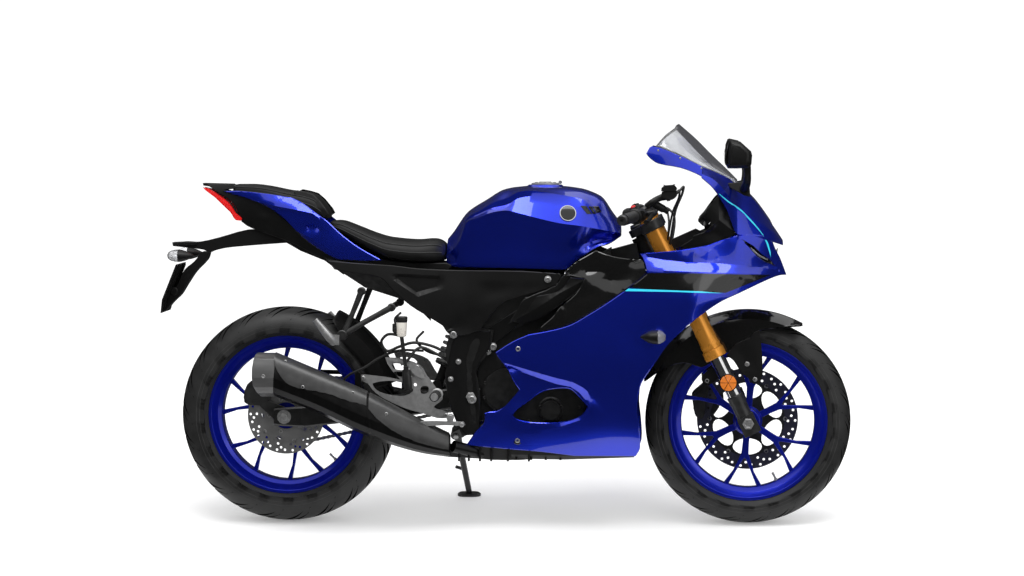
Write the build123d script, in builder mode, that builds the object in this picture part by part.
"""Sport bike parked on its side stand: a faired single-cylinder motorcycle.

Every piece is drawn with the bike upright: X forward from the rear axle, Y to the rider's left,
Z up from the floor, in millimetres. At the end all pieces are leaned onto the side stand together.
"""
from build123d import *
from math import sin, cos, tan, atan2, degrees, radians, pi
import os

os.makedirs("parts", exist_ok=True)

# ---------------------------------------------------------------- driving dimensions
wheelbase = 1325
lean = 10                     # degrees to the left, on the side stand
touch = 0.3                   # gap between pieces that seat on each other
running = 0.05                # radial clearance of a shaft in its bore
wall = 4                      # moulded panel thickness

front_radius = 295            # tyre 100/80-17
front_width = 102
rear_radius = 310             # tyre 140/70-17
rear_width = 142
rim_radius = 228              # over the rim's lips
rim_inner_radius = 190
bead_radius = 222
lip = 6
front_rim_half = 40
rear_rim_half = 57
spoke_pairs = 6
spoke_width = 12
spoke_depth = 22
spoke_fork_radius = 92        # where each spoke splits in two
spoke_spread = 14             # degrees from the pair's middle to each foot

caster = 26                   # degrees
fork_offset = 44              # legs ahead of the steering axis
leg_spacing = 97              # each leg from the middle
fork_tube_radius = 27
fork_slider_radius = 20.5
fork_bottom = 208             # along the leg from the axle
fork_top = 652
lug_top = 88
lower_clamp_at = 458
upper_clamp_at = 612
clamp_depth = 30
stem_radius = 15
head_tube_radius = 29
axle_radius = 8.5

front_disc_radius = 146
front_disc_y = 58
rear_disc_radius = 110
rear_disc_y = -84
disc_thickness = 5
caliper_clearance = 5

sprocket_y = 86
rear_pitch_radius = 97
front_pitch_radius = 29
chain_half_height = 5.5
chain_width = 15
output_shaft = (620, 375)     # engine sprocket

pivot = (535, 370)            # swingarm pivot
arm_inner_y = 100
arm_thickness = 30
arm_bridge_top = 374          # cross member behind the pivot
shock_low, shock_high = (430, 391.3), (522, 628)
shock_pin = 9
pivot_plate_y = 112
plate_thickness = 16
spar_y = 96
spar_thickness = 22
rail_radius = 11

grip_radius = 16.5
bar_radius = 11
grip_end_y = 345
grip_length = 122

stand_pivot = (478, 118, 248)
stand_foot_y = 262
stand_foot_x = 505
stand_radius = 10
pad_thickness = 9
barrel_half = 11

seat_low = 760                # underside of the seat's widest part
cap_centre_x = 742
cap_radius = 42
cap_thickness = 9

# ---------------------------------------------------------------- frames of reference
front_axle = Vector(wheelbase, 0, front_radius)
rear_axle = Vector(0, 0, rear_radius)
up_fork = Vector(-sin(radians(caster)), 0, cos(radians(caster)))
forward_fork = Vector(cos(radians(caster)), 0, sin(radians(caster)))
steering_base = front_axle - forward_fork * fork_offset
lift = rear_width / 2 * (1 - cos(radians(lean)))     # rolls onto the rear tyre's shoulder
floor_slope = tan(radians(lean))
world_up = Vector(0, -sin(radians(lean)), cos(radians(lean)))


def fork_plane(along):
    """Plane square to the fork; X forward from the steering axis, Y to the left."""
    return Plane(origin=steering_base + up_fork * along, x_dir=forward_fork, z_dir=up_fork)


def fork_point(along, forward=0, left=0):
    return steering_base + up_fork * along + forward_fork * forward + Vector(0, left, 0)


def fork_xz(along, forward):
    """Side-view point in the fork's own directions, from the steering axis."""
    point = fork_point(along, forward)
    return (point.X, point.Z)


def wheel_plane(axle, y=0):
    """Plane of a wheel, seen from the right; its normal points to the right."""
    return Plane(origin=(axle.X, y, axle.Z), x_dir=(1, 0, 0), z_dir=(0, -1, 0))


def profile_plane(axle):
    """Plane through a wheel's axle for turned profiles; X to the left, Y outwards."""
    return Plane(origin=(axle.X, 0, axle.Z), x_dir=(0, 1, 0), z_dir=(1, 0, 0))


def floor_z(y):
    """Height of the floor below the upright bike at y, once the bike leans."""
    return y * floor_slope - lift / cos(radians(lean))


# ---------------------------------------------------------------- shaping helpers
pieces = {}


def keep(label, piece):
    piece.label = label
    pieces[label] = piece


def slab(outline, y_low, y_high, radius=0):
    """Flat plate with a side-view outline, between two planes of Y."""
    with BuildPart() as plate:
        with BuildSketch(Plane.XZ.offset(-y_high)):
            Polygon(*outline)
            if radius:
                fillet(vertices(), radius)
        extrude(amount=y_high - y_low)
    return plate.part


def rod(start, end, radius, end_radius=None):
    """Round bar between two points, tapered if a second radius is given."""
    start, end = Vector(start), Vector(end)
    with BuildPart() as bar:
        with BuildSketch(Plane(origin=start, z_dir=end - start)):
            Circle(radius)
        if end_radius is None:
            extrude(amount=(end - start).length)
        else:
            with BuildSketch(Plane(origin=end, z_dir=end - start)):
                Circle(end_radius)
            loft()
    return bar.part


def cross_rod(x, z, y_low, y_high, radius):
    return rod((x, y_low, z), (x, y_high, z), radius)


def bent_tube(points, radius, bend):
    """Tube along straight runs with rounded corners."""
    with BuildPart() as tube:
        with BuildLine() as path:
            FilletPolyline(*points, radius=bend)
        with BuildSketch(Plane(origin=path.line @ 0, z_dir=path.line % 0)):
            Circle(radius)
        sweep(path=path.line)
    return tube.part


def lofted(sections):
    """Solid through closed outlines; each section is (x, [(y, z), ...])."""
    with BuildPart() as body:
        for x, outline in sections:
            with BuildSketch(Plane.YZ.offset(x)):
                Polygon(*outline)
        loft(ruled=True)
    return body.part


def skin(stations, inset=0, thickness=wall):
    """Right-hand panel surface with a thickness; each station is (x, ((z, y), ...)), low to high."""
    sections = []
    for x, levels in stations:
        outer = [(-(y - inset), z) for z, y in levels]
        inner = [(-(y - inset - thickness), z) for z, y in reversed(levels)]
        sections.append((x, outer + inner))
    return lofted(sections)


def skin_y(stations, x, z):
    """Half-width of a panel surface at a side-view point."""
    for (x0, low), (x1, high) in zip(stations, stations[1:]):
        if x0 <= x <= x1:
            t = (x - x0) / (x1 - x0)
            levels = [(a + (c - a) * t, b + (d - b) * t) for (a, b), (c, d) in zip(low, high)]
            for (z0, y0), (z1, y1) in zip(levels, levels[1:]):
                if z0 <= z <= z1:
                    return y0 + (y1 - y0) * (z - z0) / (z1 - z0)
    raise ValueError(f"no surface at {x}, {z}")


def at_station(table, x, column):
    """Value of one column of a station table at x."""
    for row, after in zip(table, table[1:]):
        if row[0] <= x <= after[0]:
            return row[column] + (after[column] - row[column]) * (x - row[0]) / (after[0] - row[0])
    raise ValueError(f"no station at {x}")


def cut_to(outline, surface, holes=()):
    """A surface solid trimmed to its side-view outline, right-hand side."""
    with BuildPart() as panel:
        add(surface)
        with BuildSketch(Plane.XZ):
            Polygon(*outline)
            for hole in holes:
                Polygon(*hole, mode=Mode.SUBTRACT)
        extrude(amount=400, mode=Mode.INTERSECT)
    return panel.part


def mirrored(piece):
    with BuildPart() as other:
        mirror(piece, about=Plane.XZ)
    return other.part


def joined(*solids):
    with BuildPart() as whole:
        for solid in solids:
            add(solid)
    return whole.part


def boss(stations, x, z, seat_y, radius=9, inset=0):
    """Mounting post from a panel's inside to what carries it at seat_y, right-hand side."""
    y = skin_y(stations, x, z) - inset - wall / 2
    return cross_rod(x, z, -y, -(seat_y + touch), radius)


# ---------------------------------------------------------------- wheels
def tyre(axle, outer, width, rim_half):
    """Closed ring with a round crown; a corner of its profile lies where it touches the floor."""
    crown = width / 2
    side = [(crown * sin(radians(a)), outer - crown + crown * cos(radians(a))) for a in (lean, 38, 64, 90)]
    bead = rim_half - lip - touch
    side += [(bead, rim_radius + touch), (bead, bead_radius)]
    with BuildPart() as ring:
        with BuildSketch(profile_plane(axle)):
            Polygon(*[(-y, r) for y, r in reversed(side)], (0, outer), *side)
        revolve(axis=Axis((axle.X, 0, axle.Z), (0, 1, 0)))
    return ring.part


def rim(axle, half, hub_radius, hub_right, hub_left, first_angle):
    """Cast wheel: rim, hub and paired spokes that split on their way out."""
    bed = bead_radius - touch
    foot = rim_inner_radius + 4
    with BuildPart() as wheel:
        with BuildSketch(profile_plane(axle)):
            right = [(-half, rim_radius), (-half + lip, rim_radius), (-half + lip, bed)]
            inside = [(-half, bed - lip), (-half * 0.45, rim_inner_radius)]
            Polygon(*right, *[(-y, r) for y, r in reversed(right)],
                    *[(-y, r) for y, r in inside], *reversed(inside))
        revolve(axis=Axis((axle.X, 0, axle.Z), (0, 1, 0)))
        with BuildSketch(wheel_plane(axle, hub_left)):
            Circle(hub_radius)
        extrude(amount=hub_left - hub_right)
        spread = radians(spoke_spread)
        half_width = spoke_width / 2
        with BuildSketch(wheel_plane(axle, spoke_depth / 2)):
            with PolarLocations(0, spoke_pairs, start_angle=first_angle):
                Polygon((hub_radius - 4, -spoke_width), (spoke_fork_radius, -half_width - 3),
                        (spoke_fork_radius, half_width + 3), (hub_radius - 4, spoke_width))
                for hand in (-1, 1):
                    end = (foot * cos(spread), hand * foot * sin(spread))
                    Polygon((spoke_fork_radius - 14, hand * -2), (end[0] - 2, end[1] - hand * spoke_width),
                            (end[0], end[1]), (spoke_fork_radius - 4, hand * (half_width + 4)))
        extrude(amount=spoke_depth)
        with BuildSketch(wheel_plane(axle, hub_left)):
            Circle(axle_radius + running)
        extrude(amount=hub_left - hub_right, mode=Mode.SUBTRACT)
    return wheel.part


def brake_disc(axle, y, outer, band, bolt_radius, arms):
    """Flat disc with a slotted centre; its hub ring bolts to the wheel."""
    with BuildPart() as disc:
        with BuildSketch(wheel_plane(axle, y + disc_thickness / 2)):
            Circle(outer)
            middle = (outer - band + bolt_radius) / 2
            with PolarLocations(middle, arms):
                Ellipse((outer - band - bolt_radius) / 2 - 8, pi * middle / arms * 0.7, mode=Mode.SUBTRACT)
            Circle(bolt_radius - 14, mode=Mode.SUBTRACT)
        extrude(amount=disc_thickness)
    return disc.part


front_hub_left = front_disc_y - disc_thickness / 2 - touch
rear_hub_right = rear_disc_y + disc_thickness / 2 + touch
rear_hub_left = sprocket_y - 4

keep("front_tyre", tyre(front_axle, front_radius, front_width, front_rim_half))
keep("rear_tyre", tyre(rear_axle, rear_radius, rear_width, rear_rim_half))
keep("front_rim", rim(front_axle, front_rim_half, 42, -48, front_hub_left, 265.5))
keep("rear_rim", rim(rear_axle, rear_rim_half, 50, rear_hub_right, rear_hub_left, 285))
keep("front_brake_disc", brake_disc(front_axle, front_disc_y, front_disc_radius, 34, 42, 6))
keep("rear_brake_disc", brake_disc(rear_axle, rear_disc_y, rear_disc_radius, 28, 50, 5))

with BuildPart() as sprocket:
    with BuildSketch(wheel_plane(rear_axle, sprocket_y + 3)):
        Circle(rear_pitch_radius - chain_half_height - 0.6)
        with PolarLocations(64, 6):
            Circle(17, mode=Mode.SUBTRACT)
        Circle(24, mode=Mode.SUBTRACT)
    extrude(amount=7 - touch)
keep("rear_sprocket", sprocket.part)

# ---------------------------------------------------------------- chain
with BuildPart() as chain:
    shaft = (output_shaft[0] - rear_axle.X, output_shaft[1] - rear_axle.Z)
    with BuildSketch(wheel_plane(rear_axle, sprocket_y + chain_width / 2)):
        Circle(rear_pitch_radius + chain_half_height)
        with Locations(shaft):
            Circle(front_pitch_radius + chain_half_height)
        make_hull()
    extrude(amount=chain_width)
    with BuildSketch(wheel_plane(rear_axle, sprocket_y + chain_width / 2)):
        Circle(rear_pitch_radius - chain_half_height)
        with Locations(shaft):
            Circle(front_pitch_radius - chain_half_height)
        make_hull()
    extrude(amount=chain_width, mode=Mode.SUBTRACT)
keep("drive_chain", chain.part)

# ---------------------------------------------------------------- steering head and fork
legs = [(fork_offset, hand * leg_spacing) for hand in (-1, 1)]


def fork_stretch(low, high, radius, tip_radius=None):
    """The same turned stretch on both fork legs."""
    with BuildPart() as pair:
        with BuildSketch(fork_plane(low)):
            with Locations(*legs):
                Circle(radius)
        if tip_radius is None:
            extrude(amount=high - low)
        else:
            extrude(amount=high - low, taper=degrees(atan2(radius - tip_radius, high - low)))
    return pair.part


flare = 24
with BuildPart() as fork_tubes:
    add(fork_stretch(fork_bottom, fork_bottom + flare, fork_tube_radius + 5, fork_tube_radius))
    add(fork_stretch(fork_bottom + flare, fork_top, fork_tube_radius))
keep("fork_outer_tubes", fork_tubes.part)
keep("fork_inner_tubes", fork_stretch(lug_top, fork_bottom, fork_slider_radius))

lug_half = 25
lug_y = (leg_spacing - lug_half, leg_spacing + lug_half)
with BuildPart() as lugs:
    add(fork_stretch(-34, lug_top, lug_half))

with BuildPart() as front_axle_pin:
    add(cross_rod(front_axle.X, front_axle.Z, -lug_y[1] - 6, lug_y[1] + 6, axle_radius))
    collars = ((-lug_y[0], -48 - touch), (front_hub_left + touch, lug_y[0]))
    for y_low, y_high in collars:
        add(cross_rod(front_axle.X, front_axle.Z, y_low, y_high, 15))
keep("fork_lugs", joined(lugs.part, front_axle_pin.part))


def clamp(along):
    """Yoke across both fork legs and the stem."""
    with BuildPart() as yoke:
        with BuildSketch(fork_plane(along)):
            with Locations(*legs):
                Circle(fork_tube_radius + 9)
            Circle(head_tube_radius - 2)
            make_hull()
            with Locations(*legs):
                Circle(fork_tube_radius + touch, mode=Mode.SUBTRACT)
            with Locations((fork_offset + 45, 0)):
                Circle(40, mode=Mode.SUBTRACT)
        extrude(amount=clamp_depth)
    return yoke.part


head_low = lower_clamp_at + clamp_depth + touch
head_high = upper_clamp_at - touch
with BuildPart() as clamps:
    add(clamp(lower_clamp_at))
    add(clamp(upper_clamp_at))
    with BuildSketch(fork_plane(lower_clamp_at)):
        Circle(stem_radius)
    extrude(amount=upper_clamp_at - lower_clamp_at + clamp_depth + 8)
keep("triple_clamps", clamps.part)

# ---------------------------------------------------------------- handlebars, grips and levers
bar_inner = fork_point(fork_top + touch + 14, fork_offset, leg_spacing)
bar_outer = Vector(972, grip_end_y, 880)
bar_way = (bar_outer - bar_inner).normalized()


def on_bar(from_end, forward=0, up=0):
    """Point on the left bar, measured inwards from its outer end."""
    return bar_outer - bar_way * from_end + Vector(forward, 0, up)


def two_sided(left):
    return joined(left, mirrored(left))


with BuildPart() as bar:
    add(rod(bar_inner - up_fork * 14, bar_inner + up_fork * 16, fork_tube_radius + 6))
    add(rod(bar_inner, on_bar(grip_length + touch), bar_radius))
keep("handlebars", two_sided(bar.part))
with BuildPart() as grip:
    add(rod(on_bar(grip_length), on_bar(6), grip_radius))
    add(rod(on_bar(6), bar_outer + bar_way * 12, grip_radius - 1))
keep("grips", two_sided(grip.part))

with BuildPart() as switch:
    add(rod(on_bar(grip_length + 46), on_bar(grip_length + touch), 24))
    add(rod(bar_inner, on_bar(grip_length), bar_radius + touch), mode=Mode.SUBTRACT)

lever_root = on_bar(grip_length + 62, 44, 6)
with BuildPart() as lever:
    add(rod(on_bar(grip_length + 74), on_bar(grip_length + 48), 20))
    add(rod(bar_inner, on_bar(grip_length), bar_radius + touch), mode=Mode.SUBTRACT)
    add(rod(on_bar(grip_length + 61, 22), lever_root, 10))
    add(rod(lever_root, on_bar(70, 58, 0), 7))
    add(rod(on_bar(70, 58, 0), on_bar(2, 66, -6), 6))

with BuildPart() as reservoir:
    spot = on_bar(grip_length + 61, 44, 12)
    add(rod((spot.X, -spot.Y, spot.Z - 6), (spot.X, -spot.Y, spot.Z + 30), 19))
    add(rod((spot.X, -spot.Y, spot.Z + 30), (spot.X, -spot.Y, spot.Z + 38), 21))
keep("hand_controls", joined(two_sided(switch.part), two_sided(lever.part), reservoir.part))

# ---------------------------------------------------------------- front fender and caliper
fender_gap = 14
fender_radius = front_radius + fender_gap
fender_half = 70


def arc_point(axle, radius, angle):
    return (axle.X + radius * cos(radians(angle)), axle.Z + radius * sin(radians(angle)))


def from_axle(axle, *offsets):
    """Outline given as distances ahead of an axle and above it."""
    return [(axle.X + ahead, axle.Z + above) for ahead, above in offsets]


with BuildPart() as fender:
    side_depth = 62
    with BuildSketch(profile_plane(front_axle)):
        Polygon((-fender_half, fender_radius - side_depth), (-fender_half, fender_radius - 12),
                (-26, fender_radius + 12), (26, fender_radius + 12), (fender_half, fender_radius - 12),
                (fender_half, fender_radius - side_depth), (fender_half - 3, fender_radius - side_depth),
                (fender_half - 3, fender_radius - 14), (25, fender_radius + 9), (-25, fender_radius + 9),
                (-fender_half + 3, fender_radius - 14), (-fender_half + 3, fender_radius - side_depth))
    revolve(axis=Axis((front_axle.X, 0, front_axle.Z), (0, 1, 0)), revolution_arc=360)
    with BuildSketch(Plane.XZ.offset(-100)):
        rear_low = arc_point(front_axle, fender_radius + 40, 158)
        top_rear = arc_point(front_axle, fender_radius + 60, 110)
        tip = arc_point(front_axle, fender_radius + 60, 60)
        low_edge = from_axle(front_axle, (139 - fender_radius, fender_radius - 159), (-20, fender_radius - 47))
        Polygon(rear_low, *low_edge, arc_point(front_axle, fender_radius - 30, 60), tip,
                (front_axle.X, front_axle.Z + fender_radius + 96), top_rear)
    extrude(amount=200, mode=Mode.INTERSECT)
    for hand in (-1, 1):
        stay_top = fender_radius - 42
        stay = from_axle(front_axle, (-120, 109), (-75, 109), (19, 120), (27, 175), (20, stay_top),
                         (-29, stay_top), (-40, 170), (-75, 145), (-120, 130))
        y_in = fender_half - 4
        y_out = leg_spacing - fork_slider_radius - touch
        add(slab(stay, *sorted((hand * y_in, hand * (y_in + 5)))))
        stay_root = from_axle(front_axle, (-77, 151), (-41, 151), (-55, 119), (-71, 123))
        add(slab(stay_root, *sorted((hand * y_in, hand * y_out))))
keep("front_fender", fender.part)


def caliper(axle, disc_y, disc_radius, outline, y_low, y_high):
    """Brake caliper that straddles its disc and closes beyond the disc's rim."""
    gap = disc_thickness / 2 + caliper_clearance
    with BuildPart() as body:
        add(slab(outline, y_low, y_high))
        add(cross_rod(axle.X, axle.Z, disc_y - gap, disc_y + gap, disc_radius + caliper_clearance),
            mode=Mode.SUBTRACT)
    return body.part


with BuildPart() as front_caliper:
    outline = from_axle(front_axle, (-153, 1), (-110, -9), (-79, 35), (-87, 89), (-121, 109), (-163, 71))
    lug = from_axle(front_axle, (-100, 35), (-63, 45), (-69, 85), (-103, 89))
    add(caliper(front_axle, front_disc_y, front_disc_radius, outline, front_disc_y - 24, front_disc_y + 34))
    add(slab(lug, front_disc_y + 14, lug_y[1] - 20))
    add(fork_stretch(-40, 260, lug_half + touch), mode=Mode.SUBTRACT)
keep("front_caliper", front_caliper.part)

with BuildPart() as reflectors:
    for hand in (-1, 1):
        centre = fork_point(130, fork_offset, hand * leg_spacing)
        y_face = hand * (leg_spacing + fork_slider_radius + touch)
        add(cross_rod(centre.X, centre.Z, *sorted((y_face, y_face + hand * 9)), 26))
keep("fork_reflectors", reflectors.part)

# ---------------------------------------------------------------- main frame
# x, then low, crease and top heights with their half-widths
tank_table = ((462, 737, 60, 772, 74, 812, 36), (505, 731, 84, 790, 108, 872, 50),
              (600, 727, 112, 850, 146, 940, 66), (690, 725, 124, 866, 158, 969, 76),
              (800, 722, 126, 858, 156, 957, 72), (880, 780, 112, 864, 136, 944, 62),
              (935, 806, 92, 850, 108, 898, 48), (960, 820, 64, 838, 74, 860, 40))

# stations of the front cowl: x, then low, middle and top heights with their half-widths
cowl_table = ((1190, 992, 178, 1006, 170, 1026, 128), (1222, 968, 176, 992, 162, 1014, 112),
              (1262, 905, 168, 950, 152, 996, 92), (1292, 850, 158, 905, 138, 972, 76),
              (1335, 834, 132, 880, 116, 936, 56), (1395, 814, 88, 838, 72, 856, 26),
              (1424, 800, 30, 806, 22, 812, 8))
cowl_skin = [(x, ((z0, y0), (z1, y1), (z2, y2))) for x, z0, y0, z1, y1, z2, y2 in cowl_table]

plate_y = (pivot_plate_y, pivot_plate_y + plate_thickness)
spar_band = (spar_y, spar_y + spar_thickness)
cowl_pin = (1275, 905)           # cross pin that carries the cowl's sides
with BuildPart() as frame:
    with BuildSketch(fork_plane(head_low)):
        Circle(head_tube_radius)
    extrude(amount=head_high - head_low)
    head_mid = fork_point((head_low + head_high) / 2)
    add(slab([(head_mid.X - 18, head_mid.Z - 62), (head_mid.X - 40, head_mid.Z + 36),
              (880, 772), (860, 700)], -40, 40))
    add(slab([(930, 790), (938, 745), (850, 672), (800, 712), (850, 745)],
             -spar_band[1], spar_band[1]))
    strut_nose = from_axle(front_axle, (-63, 489), (-55.5, 495), (-63, 511))
    add(slab([fork_xz(535, head_tube_radius - 6), fork_xz(535, 168), *strut_nose,
              fork_xz(562, 150), fork_xz(566, head_tube_radius - 6)], -16, 16))
    post_foot = from_axle(front_axle, (-73, 495), (-59, 495))
    add(slab([*post_foot, (cowl_pin[0] + 7, cowl_pin[1]), (cowl_pin[0] - 7, cowl_pin[1])], -8, 8))
    reach = skin_y(cowl_skin, cowl_pin[0] + 5.2, cowl_pin[1] + 5.2) - wall - touch
    add(cross_rod(*cowl_pin, -reach, reach, 6))
    for hand in (-1, 1):
        y_low, y_high = sorted((hand * spar_band[0], hand * spar_band[1]))
        add(slab([(930, 790), (938, 745), (760, 610), (560, 515), (500, 520), (480, 575), (520, 648),
                  (700, 690), (800, 712), (850, 745)], y_low, y_high))
        rests = at_station(tank_table, 770, 1) - touch
        add(slab([(740, 690), (770, 690), (770, rests), (740, rests)], y_low, y_high))
        y_low, y_high = sorted((hand * spar_band[0], hand * plate_y[1]))
        add(slab([(480, 575), (600, 560), (590, 500), (548, 450), (470, 440), (462, 500)], y_low, y_high))
        y_low, y_high = sorted((hand * plate_y[0], hand * plate_y[1]))
        add(slab([(470, 445), (548, 455), (562, 370), (560, 262), (510, 258), (472, 350)], y_low, y_high))
    add(cross_rod(*shock_high, -spar_band[0], spar_band[0], shock_pin))
    add(cross_rod(545, 282, -plate_y[0], plate_y[0], 13))
    with BuildSketch(fork_plane(head_low)):
        Circle(stem_radius + running)
    extrude(amount=head_high - head_low, mode=Mode.SUBTRACT)
    add(cross_rod(*pivot, -plate_y[1] - 1, plate_y[1] + 1, 12 + touch), mode=Mode.SUBTRACT)
# ---------------------------------------------------------------- swingarm
arm_outer_y = arm_inner_y + arm_thickness
with BuildPart() as swingarm:
    for hand in (-1, 1):
        # x, z low, z high, inner y, outer y
        table = ((-30, 284, 334, arm_inner_y, arm_outer_y), (60, 280, 340, arm_inner_y, arm_outer_y),
                 (380, 316, 382, arm_inner_y - 2, arm_outer_y - 16), (pivot[0] + 26, 344, 396, 96, 110))
        add(lofted([(x, [(hand * y0, z0), (hand * y1, z0), (hand * y1, z1), (hand * y0, z1)])
                    for x, z0, z1, y0, y1 in table]))
    add(cross_rod(*pivot, -100, 100, 19))
    add(slab([(360, 330), (430, 334), (430, arm_bridge_top), (360, arm_bridge_top)], -100, 74))
    add(cross_rod(*pivot, -plate_y[1] - 8, plate_y[1] + 8, 12))
with BuildPart() as rear_axle_pin:
    add(cross_rod(rear_axle.X, rear_axle.Z, -arm_outer_y - 14, arm_outer_y + 14, axle_radius))
    add(cross_rod(rear_axle.X, rear_axle.Z, -arm_inner_y, rear_disc_y - disc_thickness / 2 - touch, 16))
    add(cross_rod(rear_axle.X, rear_axle.Z, sprocket_y + 4 + touch, arm_inner_y, 16))
    for hand in (-1, 1):
        y_low, y_high = sorted((hand * arm_outer_y, hand * (arm_outer_y + 12)))
        add(cross_rod(rear_axle.X, rear_axle.Z, y_low, y_high, 16))
keep("swingarm", joined(swingarm.part, rear_axle_pin.part))

low_eye, high_eye = Vector(shock_low[0], 0, shock_low[1]), Vector(shock_high[0], 0, shock_high[1])
shock_way = high_eye - low_eye
with BuildPart() as shock:
    add(rod(low_eye, high_eye, 14))
    add(rod(low_eye + shock_way * 0.22, low_eye + shock_way * 0.86, 33))
    for eye in (low_eye, high_eye):
        add(cross_rod(eye.X, eye.Z, -18, 18, 17))
    add(cross_rod(*shock_high, -30, 30, shock_pin + touch), mode=Mode.SUBTRACT)
keep("rear_shock", shock.part)

# ---------------------------------------------------------------- engine and its fittings
with BuildPart() as engine:
    case = [(592, 300), (650, 258), (850, 258), (885, 330), (880, 420), (790, 450), (660, 470), (592, 440)]
    add(slab(case, -82, 74))
    add(slab([(660, 470), (880, 420), (930, 560), (910, 640), (760, 660), (730, 560)], -80, 80))
    add(cross_rod(635, 390, -128, -82, 60))
    add(cross_rod(763, 332, -140, -82, 27))
    add(slab([(600, 300), (850, 280), (870, 400), (740, 440), (600, 430)], -112, -82))
    add(cross_rod(800, 350, 74, 112, 72))
    small = front_pitch_radius - chain_half_height - touch
    add(cross_rod(*output_shaft, 74, sprocket_y + chain_width / 2, small))
keep("engine", engine.part)

with BuildPart() as radiator:
    add(slab([(966, 470), (1000, 462), (1012, 640), (978, 650)], -128, 128))
    add(slab([(923.5, 590), (980, 590), (980, 560), (930.8, 560)], -40, 40))
keep("radiator", radiator.part)

header_radius = 17
header_path = [(907.8, -30, 480), (944, -30, 468), (950, -40, 300), (870, -50, 220),
               (640, -45, 210), (560, -92, 206), (485, -132, 228)]
keep("exhaust_header", bent_tube(header_path, header_radius, 26))

# x along the silencer, z low, z high, inner y, outer y
muffler_table = ((476, 196, 262, 108, 160), (400, 208, 300, 118, 182), (235, 262, 388, 140, 218),
                 (100, 326, 446, 143, 232), (-20, 372, 496, 143, 236))


def silencer_section(row, slant=0.12):
    x, z0, z1, y0, y1 = row
    rise, reach = (z1 - z0), (y1 - y0)
    return (x, [(-y0, z0 + rise * 0.2), (-y0 - reach * 0.3, z0), (-y1 + reach * 0.25, z0 + rise * slant),
                (-y1, z0 + rise * 0.45), (-y1 + reach * 0.15, z1 - rise * 0.12), (-y0 - reach * 0.3, z1),
                (-y0, z1 - rise * 0.2)])


hanger_y = -(pivot_plate_y + plate_thickness + 12 + touch)
hanger = slab([(203, 380), (225, 380), (222, 436), (206, 436)], hanger_y - 8, hanger_y)
keep("muffler", joined(lofted([silencer_section(row) for row in muffler_table]), hanger))
tip_low = silencer_section(muffler_table[-1])
with BuildPart() as muffler_tip:
    x, outline = tip_low
    add(lofted([(x - touch, outline), (x - 60, [(y * 0.97 - 5, z * 0.9 + 46) for y, z in outline])]))
    add(rod((x - 75, -190, 442), (x - 30, -190, 436), 24), mode=Mode.SUBTRACT)
with BuildPart() as shield:
    for x, z0, z1, y0, y1 in ((250, 318, 372, 205, 212), (100, 386, 458, 226, 236), (-15, 440, 500, 229, 239)):
        with BuildSketch(Plane.YZ.offset(x)):
            Polygon((-y0 - 3, z0), (-y1 - 3, z0), (-y1 + 8, z1), (-y0 + 8, z1))
    loft(ruled=True)
    add(pieces["muffler"], mode=Mode.SUBTRACT)
keep("muffler_trim", joined(shield.part, muffler_tip.part))

# ---------------------------------------------------------------- fuel tank and cap
def tank_section(row):
    x, z0, y0, z1, y1, z2, y2 = row
    left = [(y0, z0), (y1, z1), (y1 * 0.86, z1 + (z2 - z1) * 0.55), (y2, z2 - (z2 - z1) * 0.06)]
    return (x, [(-y, z) for y, z in left] + [(0, z2)] + left[::-1])


cap_top_z = 972
with BuildPart() as tank:
    add(lofted([tank_section(row) for row in tank_table]))
    add(rod((cap_centre_x, 0, 930), (cap_centre_x, 0, cap_top_z), cap_radius + 9))
    with Locations((cap_centre_x + cap_radius + 1, 0, cap_top_z + 1)):
        Box(10, 20, 20)
keep("fuel_tank", tank.part)
cap_hinge = Vector(cap_centre_x + cap_radius + 1, 0, cap_top_z + 7)
knuckle_radius = 5.5
with BuildPart() as cap:
    add(rod((cap_centre_x, 0, cap_top_z + touch), (cap_centre_x, 0, cap_top_z + cap_thickness), cap_radius - 8))
    for hand in (-1, 1):
        knuckle = sorted((hand * (10 + touch), hand * 18))
        add(cross_rod(cap_hinge.X, cap_hinge.Z, *knuckle, knuckle_radius))
        add(slab([(cap_centre_x + 20, cap_top_z + 2), (cap_hinge.X, cap_hinge.Z - knuckle_radius + touch),
                  (cap_hinge.X, cap_top_z + cap_thickness), (cap_centre_x + 20, cap_top_z + cap_thickness)], *knuckle))
keep("fuel_cap", cap.part)

# ---------------------------------------------------------------- seats
# x, z low, z top, half-width low, half-width top
seat_table = ((126, 846, 872, 70, 62), (200, 806, 853, 96, 80), (300, seat_low, 820, 122, 98),
              (380, 752, 815, 116, 92), (447, 750, 821, 84, 62), (455, 752, 812, 66, 48))
pillion_table = ((-158, 942, 974, 40, 32), (-60, 930, 972, 66, 54), (12, 912, 957, 84, 70),
                 (70, 890, 950, 92, 76), (118, 868, 892, 90, 70))


def cushion(table):
    return lofted([(x, [(-y0, z0), (-y0, (z0 + z1) / 2), (-y1, z1), (y1, z1), (y0, (z0 + z1) / 2), (y0, z0)])
                   for x, z0, z1, y0, y1 in table])


keep("rider_seat", cushion(seat_table))
keep("pillion_seat", cushion(pillion_table))

# ---------------------------------------------------------------- tail
# stations of the tail's right side: x, ((z, y), ...)
tail_skin = ((-200, ((900, 30), (955, 36), (990, 26))), (-60, ((860, 62), (925, 80), (990, 62))),
             (60, ((780, 84), (880, 106), (960, 92))), (165, ((700, 100), (800, 124), (870, 116))),
             (300, ((680, 116), (755, 130), (860, 122))))
tail_cover = cut_to([(-188, 954), (0, 933), (15, 929), (60, 890), (125, 838), (165, 804), (200, 799), (284, 757),
                     (150, 758), (60, 816), (0, 855), (-35, 890), (-130, 932)], skin(tail_skin))


seat_rest = seat_low - touch - rail_radius * 1.08


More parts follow.
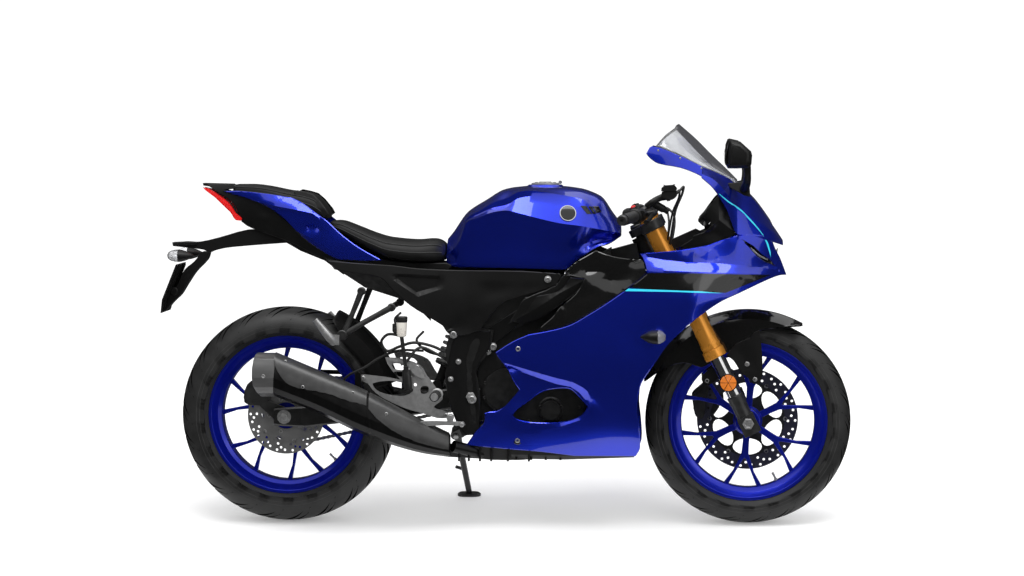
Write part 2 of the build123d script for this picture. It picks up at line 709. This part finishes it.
def rails(radius, extra=0):
    """The tail's two tubes each side and what ties them."""
    with BuildPart() as tubes:
        for hand in (-1, 1):
            middle, back = (300, hand * 62, seat_rest), (-40, hand * 40, 872)
            add(rod((540, hand * 92, 618), middle, radius + extra))
            add(rod(middle, back, radius + extra))
            add(rod((495, hand * 92, 550), (240, hand * 58, 763), radius - 2 + extra))
        add(cross_rod(300, seat_rest, -62, 62, radius - 2 + extra))
        add(cross_rod(-40, 872, -46, 46, radius - 2 + extra))
    return tubes.part


keep("frame", joined(frame.part, rails(rail_radius)))

# x, z low, z high, half-width low, half-width high
under_table = ((-134, 862, 926, 26, 30), (-60, 836, 908, 40, 50), (40, 780, 884, 52, 68),
               (110, 752, 840, 56, 78), (165, 712, 790, 58, 82))
lamp_seam = [(-244, 967), (-166, 919), (-151, 899), (-134, 880)]
with BuildPart() as tail_under:
    for x, z0, z1, y0, y1 in under_table:
        with BuildSketch(Plane.YZ.offset(x)):
            Polygon((-y0, z0), (-y1, (z0 + z1) / 2), (-y1, z1), (y1, z1), (y1, (z0 + z1) / 2), (y0, z0))
    loft(ruled=True)
    add(slab([(-250, 976), (-160, 974), (-162, 940), (-64, 926), (-60, 900), (-134, 890), *lamp_seam[::-1]],
             -26, 26))
    add(rails(rail_radius, touch), mode=Mode.SUBTRACT)
keep("tail_undertray", tail_under.part)


def tail_boss(x, z):
    return boss(tail_skin, x, z, at_station(under_table, x + 7, 4) + touch, 7)


cover_right = joined(tail_cover, tail_boss(0, 884), tail_boss(110, 812))
keep("tail_covers", joined(cover_right, mirrored(cover_right)))
lamp_edge = [(x - touch, z - touch * 2) for x, z in lamp_seam]
keep("tail_lamp", slab([*lamp_edge, (-134.5, 866), (-152, 868), (-170, 898), (-249, 964)], -42, 42))

# ---------------------------------------------------------------- number plate holder
with BuildPart() as plate_holder:
    add(slab([(0, 802.1), (-60, 835.7), (-125, 843), (-250, 811), (-338, 806), (-338, 792), (-262, 790), (-230, 780),
              (-170, 793), (-100, 795)], -34, 34))
    add(slab([(-228, 782), (-290, 695), (-322, 647), (-345, 618), (-360, 601), (-356, 640), (-305, 722),
              (-300, 782)], -30, 30))
    add(slab([(-314, 743), (-354, 640), (-360, 601), (-363, 602), (-358, 642), (-318, 745)], -92, 92))
keep("plate_holder", plate_holder.part)
with BuildPart() as rear_indicator:
    add(rod((-298, 30 + touch, 768), (-298, 60, 768), 7))
    with BuildSketch(Plane.XZ.offset(-60)):
        Polygon((-340, 770), (-322, 787), (-285, 786), (-262, 772), (-285, 752), (-322, 749))
    extrude(amount=-62, taper=12)
keep("rear_indicators", two_sided(rear_indicator.part))

# ---------------------------------------------------------------- black side panels behind the tank
panel_skin = ((100, ((640, 118), (720, 126), (800, 122))), (300, ((560, 132), (680, 138), (780, 126))),
              (480, ((520, 134), (640, 142), (780, 128))), (660, ((540, 140), (640, 150), (780, 150))),
              (800, ((560, 150), (680, 158), (780, 158))))
recess = [(292, 713), (380, 645), (450, 667)]
side_panel = cut_to([(125, 757), (285, 750), (400, 727), (470, 732), (660, 724), (790, 720), (795, 712),
                     (760, 670), (690, 655), (560, 640), (520, 620), (487, 545), (437, 552), (330, 620),
                     (230, 683), (145, 730)], skin(panel_skin))
side_right = joined(side_panel, boss(panel_skin, 470, 600, spar_band[1]),
                    boss(panel_skin, 740, 690, spar_band[1]))
keep("side_panels", joined(side_right, mirrored(side_right)))

# ---------------------------------------------------------------- fairings
# stations of the fairing's right side: x, ((z, y), ...) at foot, waist, shoulder and top
fairing_skin = ((500, ((180, 100), (320, 150), (500, 190), (640, 190))),
                (700, ((180, 112), (330, 172), (503, 206), (700, 196))),
                (850, ((180, 112), (335, 184), (503, 224), (810, 184))),
                (1000, ((180, 112), (330, 192), (503, 236), (830, 178))),
                (1150, ((400, 180), (520, 216), (640, 226), (840, 150))),
                (1290, ((600, 130), (660, 166), (720, 166), (880, 100))),
                (1440, ((640, 24), (690, 44), (740, 44), (800, 20))))
engine_window = [(657, 312), (665, 330), (700, 370), (740, 395), (800, 400), (830, 390), (870, 343),
                 (812, 300), (700, 298)]
fairing_outline = [(1012, 778), (1160, 787), (1220, 800), (1288, 834), (1395, 760), (1435, 722), (1350, 700),
                   (1300, 680), (1250, 655), (1200, 615), (1110, 545), (1060, 490), (1020, 430), (1010, 350),
                   (1015, 250), (1020, 215), (1005, 200), (830, 200), (800, 215), (650, 230), (520, 237),
                   (575, 300), (573, 320), (630, 335), (680, 390), (640, 450), (612, 492), (612, 500),
                   (700, 553), (800, 573), (900, 630), (1000, 700), (1040, 722), (1035, 745)]
fairing_panel = cut_to(fairing_outline, skin(fairing_skin), [engine_window])
fairing_right = joined(fairing_panel, boss(fairing_skin, 988, 560, 128), boss(fairing_skin, 670, 278, 82))
keep("side_fairings", joined(fairing_right, mirrored(fairing_right)))

upper_inset = 7
upper_outline = [(808, 722), (892, 792), (925, 776), (1010, 771), (1033, 745), (1036, 722), (1000, 705),
                 (960, 673), (900, 635), (800, 579), (700, 558), (640, 562), (720, 620), (780, 660)]
upper_panel = cut_to(upper_outline, skin(fairing_skin, upper_inset))
upper_right = joined(upper_panel, boss(fairing_skin, 890, 730, spar_band[1], 9, upper_inset))
keep("upper_panels", joined(upper_right, mirrored(upper_right)))

with BuildPart() as belly:
    depth = 40
    for x, z0 in ((650, 188), (800, 186), (1000, 194)):
        half = skin_y(fairing_skin, x, z0 + depth) - wall - touch
        foot = half * 0.78
        with BuildSketch(Plane.YZ.offset(x)):
            Polygon((-half, z0 + depth), (-foot, z0), (foot, z0), (half, z0 + depth),
                    (half - wall, z0 + depth), (foot - wall / 2, z0 + wall), (-foot + wall / 2, z0 + wall),
                    (-half + wall, z0 + depth))
    loft(ruled=True)
keep("belly_pan", belly.part)

def arch(row, thickness=wall):
    x, z0, y0, z1, y1, z2, y2 = row
    outer = [(y0, z0), (y1, z1), (y2, z2)]
    inner = [(max(y - thickness, 2), z - (thickness if i else 0)) for i, (y, z) in enumerate(outer)]
    right = [(-y, z) for y, z in outer]
    return (x, right + outer[::-1] + inner + [(-y, z) for y, z in reversed(inner)])


closed_from = 3              # the screen fills the opening behind this station
cowl_side = skin(cowl_skin[:closed_from + 1])
front_cowl = joined(lofted([arch(row) for row in cowl_table[closed_from:]]), cowl_side, mirrored(cowl_side))
wing_skin = ((1030, ((1000, 176), (1060, 170), (1100, 160))), (1190, ((900, 186), (985, 176), (1060, 150))),
             (1300, ((800, 128), (900, 146), (1000, 118))))
wing_top = ((1050, 1085), (1126, 1058), (1200, cowl_table[0][5] - 3))
wing = cut_to([(1033, 1063), *wing_top[:2], (1193, 1026), (1193, 995), (1150, 1010),
               (1100, 1022), (1065, 1032), (1045, 1045)], skin(wing_skin))
keep("front_cowl", joined(front_cowl, wing, mirrored(wing)))

# stations of the windscreen, same columns as the cowl
def on_cowl(x):
    """Height and half-width where the screen's edge sits on the cowl's top edge."""
    return at_station(cowl_table, x, 5) + touch, at_station(cowl_table, x, 6)


def on_wing(x):
    """The same on the wings behind the cowl."""
    top = at_station(wing_top, x, 1)
    return top + 3 * touch, skin_y(wing_skin, x, top)


screen_front = cowl_table[closed_from][0] - touch
screen_table = ((1058, *on_wing(1058), 1096, 150, 1104, 100), (1126, *on_wing(1126), 1110, 130, 1147, 60),
                (1200, *on_cowl(1200), 1062, 100, 1084, 50), (1222, *on_cowl(1222), 1042, 88, 1060, 44),
                (1262, *on_cowl(1262), 1006, 66, 1015, 34),
                (screen_front, *on_cowl(screen_front), 978, 52, 983, 26))
keep("windscreen", lofted([arch(row, 3) for row in screen_table]))

with BuildPart() as nose:
    add(slab([(1290, 835), (1400, 806), (1410, 780), (1430, 735), (1395, 708), (1350, 702), (1300, 720),
              (1270, 790)], -36, 36))
keep("headlamp", nose.part)
with BuildPart() as meter:
    add(slab(from_axle(front_axle, (-147, 573), (-85, 645), (-63, 630), (-121, 557)), -86, 86))
    add(slab(from_axle(front_axle, (-129, 567), (-105, 563), (-109, 532.5), (-121, 538)), -16, 16))
keep("instrument_panel", meter.part)

# ---------------------------------------------------------------- mirrors and front indicators
with BuildPart() as mirror_arm:
    foot = Vector(1302, skin_y(cowl_skin, 1302, 930), 930)
    out = Vector(0.35, 0.68, 0.64)
    arm = joined(rod(foot + out * 6, (1322, 250, 1046), 9), rod(foot - out, foot + out * 14, 18, 12))
    add((arm - pieces["front_cowl"]).solids().sort_by(SortBy.VOLUME)[-1])
    for y, inset in ((236, 14), (250, 0), (350, 6), (372, 22)):
        with BuildSketch(Plane.XZ.offset(-y)):
            Polygon((1258 + inset, 1028), (1272 + inset / 2, 1104 - inset), (1318, 1098 - inset), (1335, 1070),
                    (1332, 1026 + inset / 2))
    loft(ruled=True)
keep("mirrors", two_sided(mirror_arm.part))
with BuildPart() as front_indicator:
    y = skin_y(fairing_skin, 1052, 552)
    add(rod((1052, y + 3 * touch, 552), (1052, y + 24, 552), 8))
    with BuildSketch(Plane.XZ.offset(-y - 24)):
        Polygon((1020, 548), (1046, 572), (1078, 572), (1092, 560), (1070, 536), (1034, 531))
    extrude(amount=-50, taper=10)
keep("front_indicators", two_sided(front_indicator.part))

# ---------------------------------------------------------------- footrests and foot controls
bracket_y = (plate_y[1] + touch, plate_y[1] + 12)
with BuildPart() as rider_bracket:
    add(slab([(293, 485), (345, 465), (432, 400), (470, 440), (520, 470), (540, 300), (472, 300), (437, 372),
              (370, 350), (320, 360), (235, 408), (213, 425), (305, 425), (330, 440)],
             *bracket_y))
    add(cross_rod(440, 378, bracket_y[1], bracket_y[1] + 118, 15))
    add(cross_rod(*pivot, 100, 180, 12 + touch), mode=Mode.SUBTRACT)
with BuildPart() as brake_pedal:
    y0, y1 = -bracket_y[1] - 24, -bracket_y[1] - 14
    add(slab([(385, 318), (470, 328), (545, 304), (545, 292), (470, 306), (400, 305)], y0, y1))
    add(cross_rod(536, 296, y0 - 40, y0, 7))
    add(cross_rod(478, 312, y1, -bracket_y[1] - touch, 9))
    cup_y = -skin_y(panel_skin, 339, 600) - touch - 17.5
    add(rod((339, cup_y, 540), (339, cup_y, 600), 17))
    add(slab([(333, 541), (345, 541), (358, 444), (346, 444)], cup_y - 4, cup_y + 4))
    add(slab([(345, 458), (359, 458), (359, 440), (345, 440)], cup_y - 4, -bracket_y[1] - touch))
with BuildPart() as shift_lever:
    y0, y1 = bracket_y[1] + 14, bracket_y[1] + 24
    add(slab([(430, 318), (470, 324), (550, 322), (550, 308), (470, 302), (430, 300)], y0, y1))
    add(cross_rod(540, 315, y1, y1 + 40, 7))
    add(cross_rod(478, 312, bracket_y[1] + touch, y0, 9))
keep("foot_controls", joined(brake_pedal.part, shift_lever.part))
with BuildPart() as passenger:
    joint = (175, -skin_y(panel_skin, 270, 650) - 20, 548)
    for x, z in ((232, 668), (310, 622)):
        y = skin_y(panel_skin, x, z)
        add(cross_rod(x, z, -y - 16, -y - 4 * touch, 12))
        add(rod((x, -y - 12, z), joint, 9))
    add(cross_rod(joint[0], joint[2], joint[1] - 14, joint[1] + 8, 15))
    add(rod((150, joint[1] - 26, 525), (95, joint[1] - 26, 592), 13))
    add(rod(joint, (140, joint[1] - 26, 540), 9))
keep("footrests", joined(two_sided(rider_bracket.part), passenger.part, mirrored(passenger.part)))

# ---------------------------------------------------------------- rear hugger, chain guard and caliper
with BuildPart() as hugger:
    clear = rear_radius + 14
    half = 76
    with BuildSketch(profile_plane(rear_axle)):
        Polygon((-half, clear - 60), (-half, clear - 16), (-34, clear + 8), (34, clear + 8), (half, clear - 16),
                (half, clear - 60), (half - 3, clear - 60), (half - 3, clear - 18), (33, clear + 5),
                (-33, clear + 5), (-half + 3, clear - 18), (-half + 3, clear - 60))
    revolve(axis=Axis((rear_axle.X, 0, rear_axle.Z), (0, 1, 0)), revolution_arc=360)
    with BuildSketch(Plane.XZ.offset(-110)):
        Polygon(*from_axle(rear_axle, (clear - 204, clear - 34), (clear - 164, clear - 94),
                           (clear - 154, clear - 134), (clear - 39, 115), (clear - 16, 35), (clear + 96, 30),
                           (clear + 96, 170), (clear - 24, clear - 34)))
    extrude(amount=220, mode=Mode.INTERSECT)
    shoe_back, shoe_top = rear_axle.X + clear - 6, arm_bridge_top + 6
    add(slab([(shoe_back, shoe_top), (366, shoe_top), (366, arm_bridge_top + touch),
              (shoe_back, arm_bridge_top + touch)], -60, 60))
with BuildPart() as chain_guard:
    guard_out = arm_inner_y - touch
    add(slab([(60, 430), (334, 424), (334, 418), (60, 424)], sprocket_y - 2, guard_out))
    add(slab([(62, 425), (80, 425), (80, 326), (62, 326)], guard_out - 3, guard_out))
    add(slab([(318, 421), (332, 421), (332, 360), (318, 360)], guard_out - 4.7, guard_out - 1.7))
keep("rear_hugger", joined(hugger.part, chain_guard.part))
with BuildPart() as rear_caliper:
    outline = from_axle(rear_axle, (-120, 36), (-112, 92), (-72, 110), (-34, 88), (-44, 42), (-76, 28))
    add(caliper(rear_axle, rear_disc_y, rear_disc_radius, outline, -arm_inner_y + touch, rear_disc_y + 24))
    bracket_in = rear_disc_y - disc_thickness / 2 - caliper_clearance
    caliper_hanger = from_axle(rear_axle, (-76, 28), (-44, 42), (24, 16), (24, -18), (-24, -22))
    add(slab(caliper_hanger, -arm_inner_y + touch, bracket_in))
    add(cross_rod(rear_axle.X, rear_axle.Z, -110, -70, 16 + touch), mode=Mode.SUBTRACT)
keep("rear_caliper", rear_caliper.part)

# ---------------------------------------------------------------- side stand
stand_root = Vector(stand_pivot)
foot_point = Vector(stand_foot_x, stand_foot_y, floor_z(stand_foot_y))
pad_plane = Plane(origin=foot_point, x_dir=(1, 0, 0), z_dir=world_up)
leg_end = foot_point + world_up * pad_thickness
stand_way = (leg_end - stand_root).normalized()
folded_way = Vector(-1, 0.1, -0.03).normalized()
stand_axis = stand_way.cross(folded_way).normalized()
stand_swing = degrees(atan2(stand_way.cross(folded_way).length, stand_way.dot(folded_way)))
with BuildPart() as stand:
    add(rod(stand_root - stand_axis * barrel_half, stand_root + stand_axis * barrel_half, 16))
    add(rod(stand_root, leg_end + stand_way * 4, stand_radius))
    with BuildSketch(pad_plane):
        SlotOverall(70, 40)
    extrude(amount=pad_thickness)
    with BuildSketch(pad_plane):
        Rectangle(600, 600)
    extrude(amount=-60, mode=Mode.SUBTRACT)
    add(rod(stand_root - stand_axis * 40, stand_root + stand_axis * 40, 6 + running), mode=Mode.SUBTRACT)
keep("side_stand", stand.part)
with BuildPart() as stand_bracket:
    inner, outer = barrel_half + touch, barrel_half + 9
    add(rod(stand_root - stand_axis * outer, stand_root + stand_axis * outer, 6))
    add(rod(stand_root - stand_axis * outer, stand_root - stand_axis * inner, 16))
    add(rod(stand_root + stand_axis * inner, stand_root + stand_axis * outer, 12))
    with BuildSketch(Plane(origin=stand_root - stand_axis * outer, x_dir=(1, 0, 0), z_dir=stand_axis)):
        Circle(16)
        with Locations((68, -52)):
            Circle(12)
        make_hull()
    extrude(amount=outer - inner)
pieces["frame"] = joined(pieces["frame"], stand_bracket.part)

# ---------------------------------------------------------------- park the bike and write the pieces
leaned = Location((0, 0, lift), (-lean, 0, 0))
whole = Compound(children=[piece.moved(leaned) for piece in pieces.values()]).bounding_box()
centre = whole.center()
parked = Location((-centre.X, -centre.Y, -whole.min.Z)) * leaned

if __name__ == "__main__":
    for label, piece in pieces.items():
        placed = piece.moved(parked)
        placed.label = label
        export_step(placed, f"parts/{label}.step")
    print(len(pieces), "pieces", whole.size, "centre", centre)
